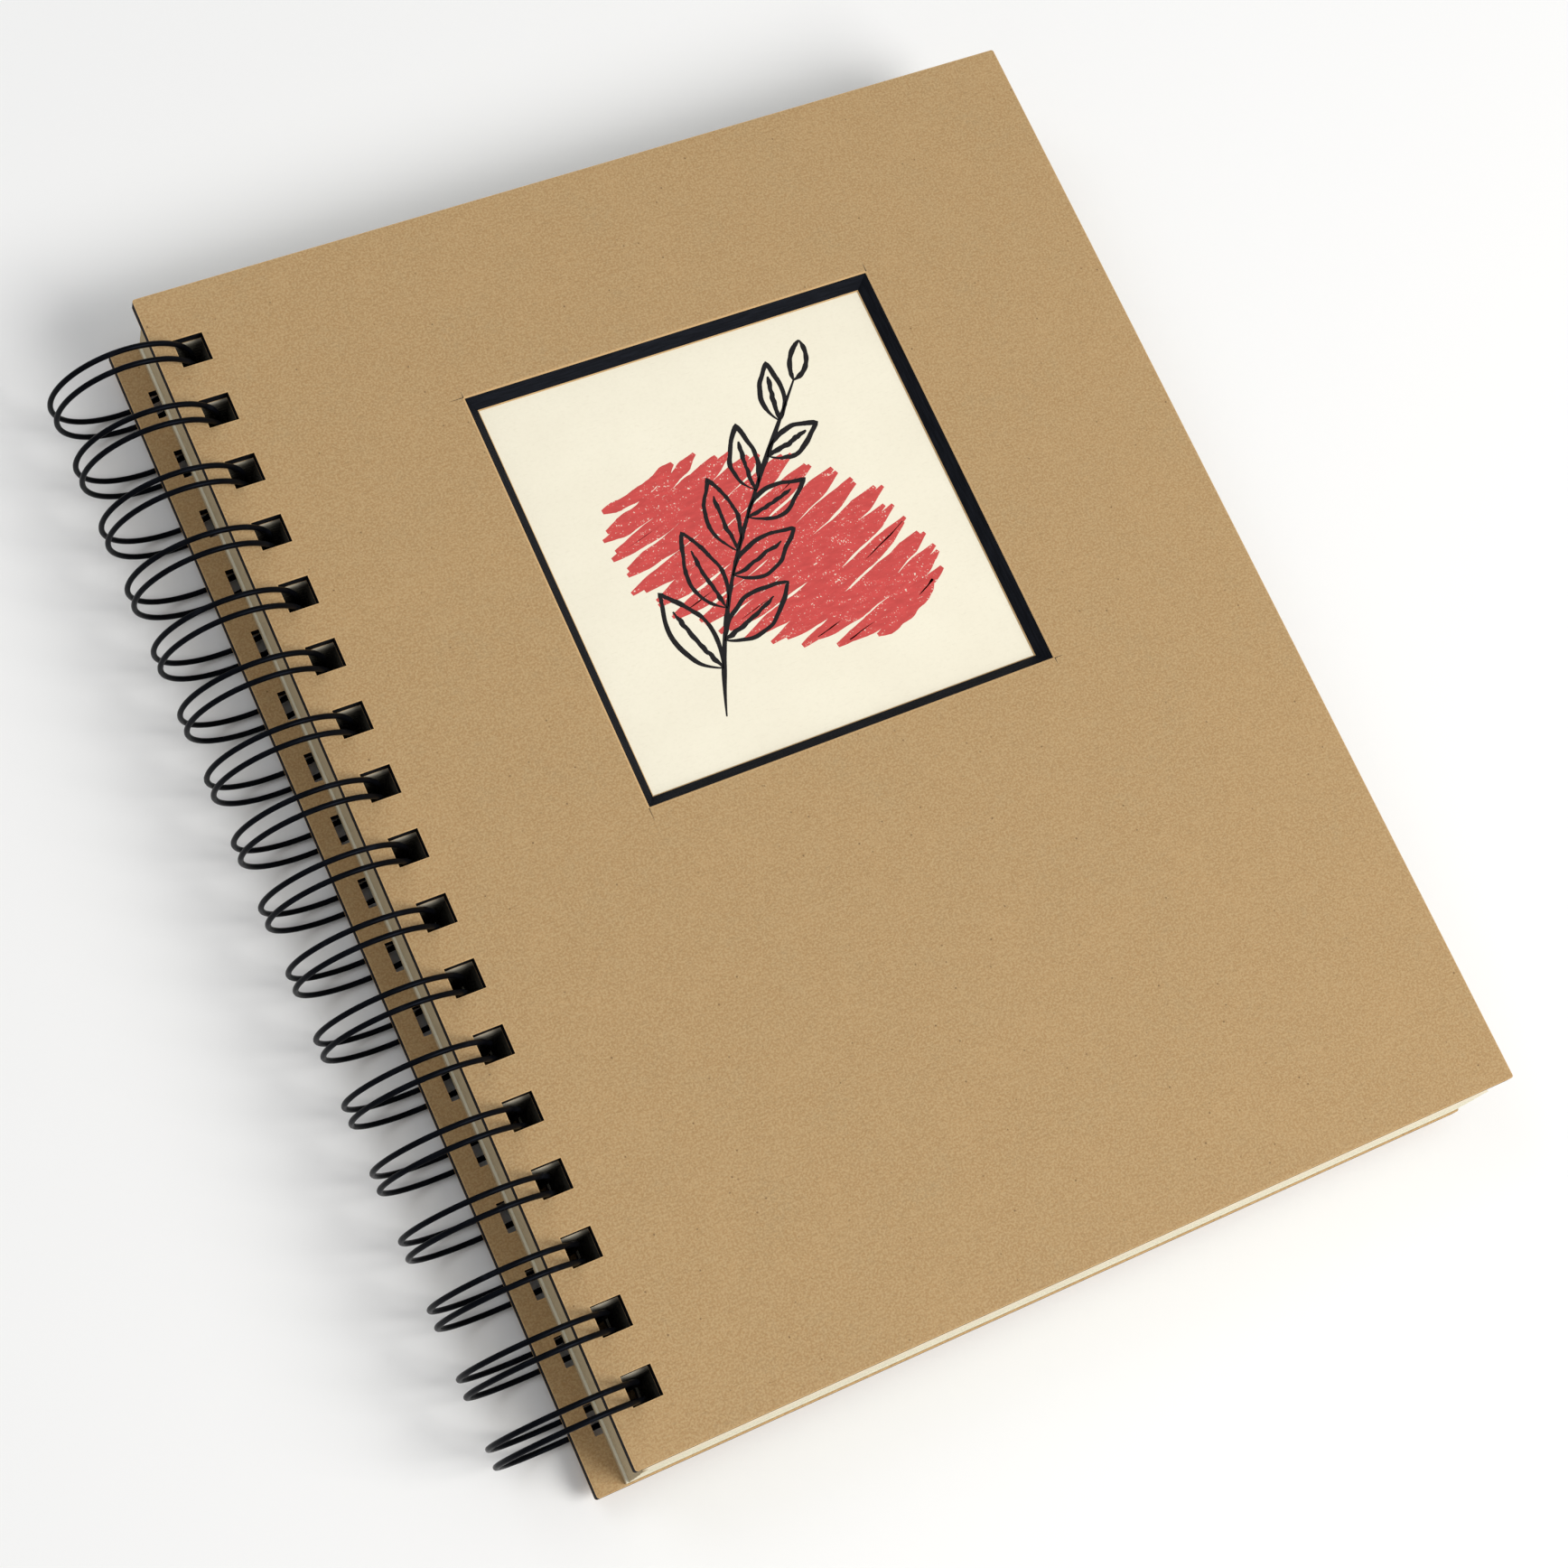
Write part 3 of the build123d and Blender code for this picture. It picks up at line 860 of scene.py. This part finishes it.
class SKETCHBOOK_OT_stage(bpy.types.Operator):
    """Lays the floor, hangs the soft lights and sets up the camera"""

    bl_idname = "sketchbook.stage"
    bl_label = "Set up stage"

    def execute(self, context):
        stage, sizes = context.scene.sketchbook_stage, context.scene.sketchbook_sizes
        reach = np.array([0.0, 0.3, 0.8, 2.0, 5.0])
        turn = np.linspace(0, 2 * np.pi, FLOOR_SIDES, endpoint=False)
        height = np.full((len(reach), FLOOR_SIDES), CAD_BOX[0][2] - sizes.floor_gap)
        points = np.stack([np.outer(reach, np.cos(turn)), np.outer(reach, np.sin(turn)), height], -1)
        index = np.arange(height.size).reshape(height.shape)
        after = np.roll(index, -1, axis=1)
        rings = np.stack([index[1:-1], index[2:], after[2:], after[1:-1]], -1).reshape(-1, 4)
        middle = np.stack([np.zeros(FLOOR_SIDES, int), index[1], after[1]], -1)
        floor = put_mesh("floor", points.reshape(-1, 3), [rings, middle])
        floor.data.materials.append(floor_paint(context.scene.sketchbook_colours.floor))

        world = bpy.data.worlds.new("studio")
        world.use_nodes = True
        sky = world.node_tree.nodes["Background"]
        sky.inputs["Color"].default_value = (1.0, 1.0, 1.0, 1.0)
        sky.inputs["Strength"].default_value = stage.sky
        context.scene.world = world
        for name, power, size, spot, tint in (
            ("key_light", stage.key_power, 0.8, (0.68, -0.76, 1.02), (1.0, 0.985, 0.955)),
            ("fill_light", stage.fill_power, 0.7, (-0.55, 0.75, 0.9), (0.90, 0.95, 1.0)),
        ):
            light = bpy.data.lights.new(name, "AREA")
            light.energy, light.size, light.color = power, size, tint
            lamp = bpy.data.objects.new(name, light)
            lamp.location = spot
            lamp.rotation_euler = (-Vector(spot)).to_track_quat("-Z", "Y").to_euler()
            context.collection.objects.link(lamp)

        camera = bpy.data.objects.new("camera", bpy.data.cameras.new("camera"))
        look = Vector(stage.camera_aim) - Vector(stage.camera_place)
        camera.location = stage.camera_place
        upright = look.to_track_quat("-Z", "Y")
        camera.rotation_mode = "QUATERNION"
        camera.rotation_quaternion = upright @ Quaternion((0, 0, 1), stage.camera_roll)
        camera.data.lens = stage.camera_lens
        camera.data.sensor_width = 36
        camera.data.clip_start = 0.01
        context.collection.objects.link(camera)
        context.scene.camera = camera
        context.scene.view_settings.view_transform = "Standard"
        return {"FINISHED"}


class SKETCHBOOK_PT_panel(bpy.types.Panel):
    """Settings and building steps of the sketchbook"""

    bl_idname = "SKETCHBOOK_PT_panel"
    bl_label = "Sketchbook"
    bl_space_type = "VIEW_3D"
    bl_region_type = "UI"
    bl_category = "Sketchbook"

    def draw(self, context):
        layout = self.layout
        scene = context.scene
        for group in (scene.sketchbook_sizes, scene.sketchbook_colours, scene.sketchbook_stage):
            column = layout.column()
            for key in group.__annotations__:
                column.prop(group, key)
        for operator in OPERATORS:
            layout.operator(operator.bl_idname)


SETTINGS = (SketchbookSizes, SketchbookColours, SketchbookStage)
OPERATORS = (
    SKETCHBOOK_OT_covers,
    SKETCHBOOK_OT_window_slits,
    SKETCHBOOK_OT_drawing_sheets,
    SKETCHBOOK_OT_title_page,
    SKETCHBOOK_OT_wire_comb,
    SKETCHBOOK_OT_stage,
)


def register():
    for item in (*SETTINGS, *OPERATORS, SKETCHBOOK_PT_panel):
        bpy.utils.register_class(item)
    bpy.types.Scene.sketchbook_sizes = bpy.props.PointerProperty(type=SketchbookSizes)
    bpy.types.Scene.sketchbook_colours = bpy.props.PointerProperty(type=SketchbookColours)
    bpy.types.Scene.sketchbook_stage = bpy.props.PointerProperty(type=SketchbookStage)


def unregister():
    del bpy.types.Scene.sketchbook_stage
    del bpy.types.Scene.sketchbook_colours
    del bpy.types.Scene.sketchbook_sizes
    for item in reversed((*SETTINGS, *OPERATORS, SKETCHBOOK_PT_panel)):
        bpy.utils.unregister_class(item)


def main():
    """Builds the whole book step by step."""
    register()
    bpy.ops.sketchbook.covers()
    bpy.ops.sketchbook.window_slits()
    bpy.ops.sketchbook.drawing_sheets()
    bpy.ops.sketchbook.title_page()
    bpy.ops.sketchbook.wire_comb()
    bpy.ops.sketchbook.stage()


if __name__ == "__main__":
    main()
